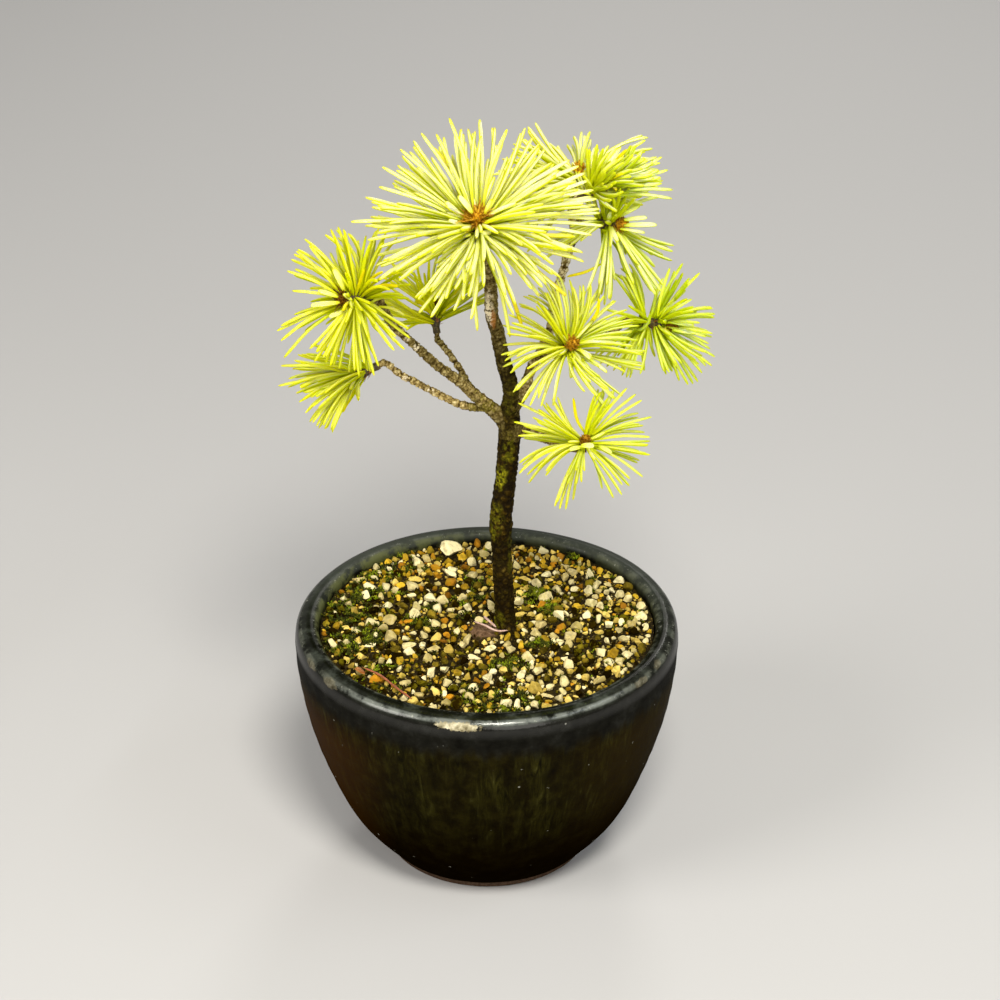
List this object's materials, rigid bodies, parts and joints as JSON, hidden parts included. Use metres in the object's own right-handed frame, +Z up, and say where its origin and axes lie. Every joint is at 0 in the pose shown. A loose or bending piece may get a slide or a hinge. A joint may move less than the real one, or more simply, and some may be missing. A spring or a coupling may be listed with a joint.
{
  "type": "japanese white pine bonsai in a pot",
  "caption": "Small white pine tree with a slim bent trunk, spread limbs and starry sprays of short needles, growing in gravel in a deep round glazed pot.",
  "frame": {"origin": "bottom centre of the bounding box, on the surface that the pot's foot stands on; the pot's own axis is 3.1 mm to its -X side", "axes": "+Z up along the trunk, -Y towards the front of the tree, +X to the right seen from the front"},
  "size_m": [0.1062, 0.1, 0.2042],
  "materials": {
    "glaze": "dark olive and navy satin glaze with a paler rim",
    "screen": "matt",
    "gravel": "loose rough grains with moss between them",
    "bark": "rough scaly bark",
    "needle": "fresh yellow-green needle, semi-gloss",
    "bud": "papery orange-brown scales"
  },
  "bodies": {
    "root": {"pot": "glaze", "drain_screen": "screen", "soil": "gravel", "wood": "bark", "needles_low_right": "needle", "needles_middle_right": "needle", "needles_crown": "needle", "needles_right": "needle", "needles_upper_right_front": "needle", "needles_upper_right": "needle", "needles_upper_back": "needle", "needles_low_left": "needle", "needles_left": "needle", "needles_back_left": "needle", "bud_low_right": "bud", "bud_middle_right": "bud", "bud_crown": "bud", "bud_right": "bud", "bud_upper_right_front": "bud", "bud_upper_right": "bud", "bud_upper_back": "bud", "bud_low_left": "bud", "bud_left": "bud", "bud_back_left": "bud"}
  },
  "joints": []
}
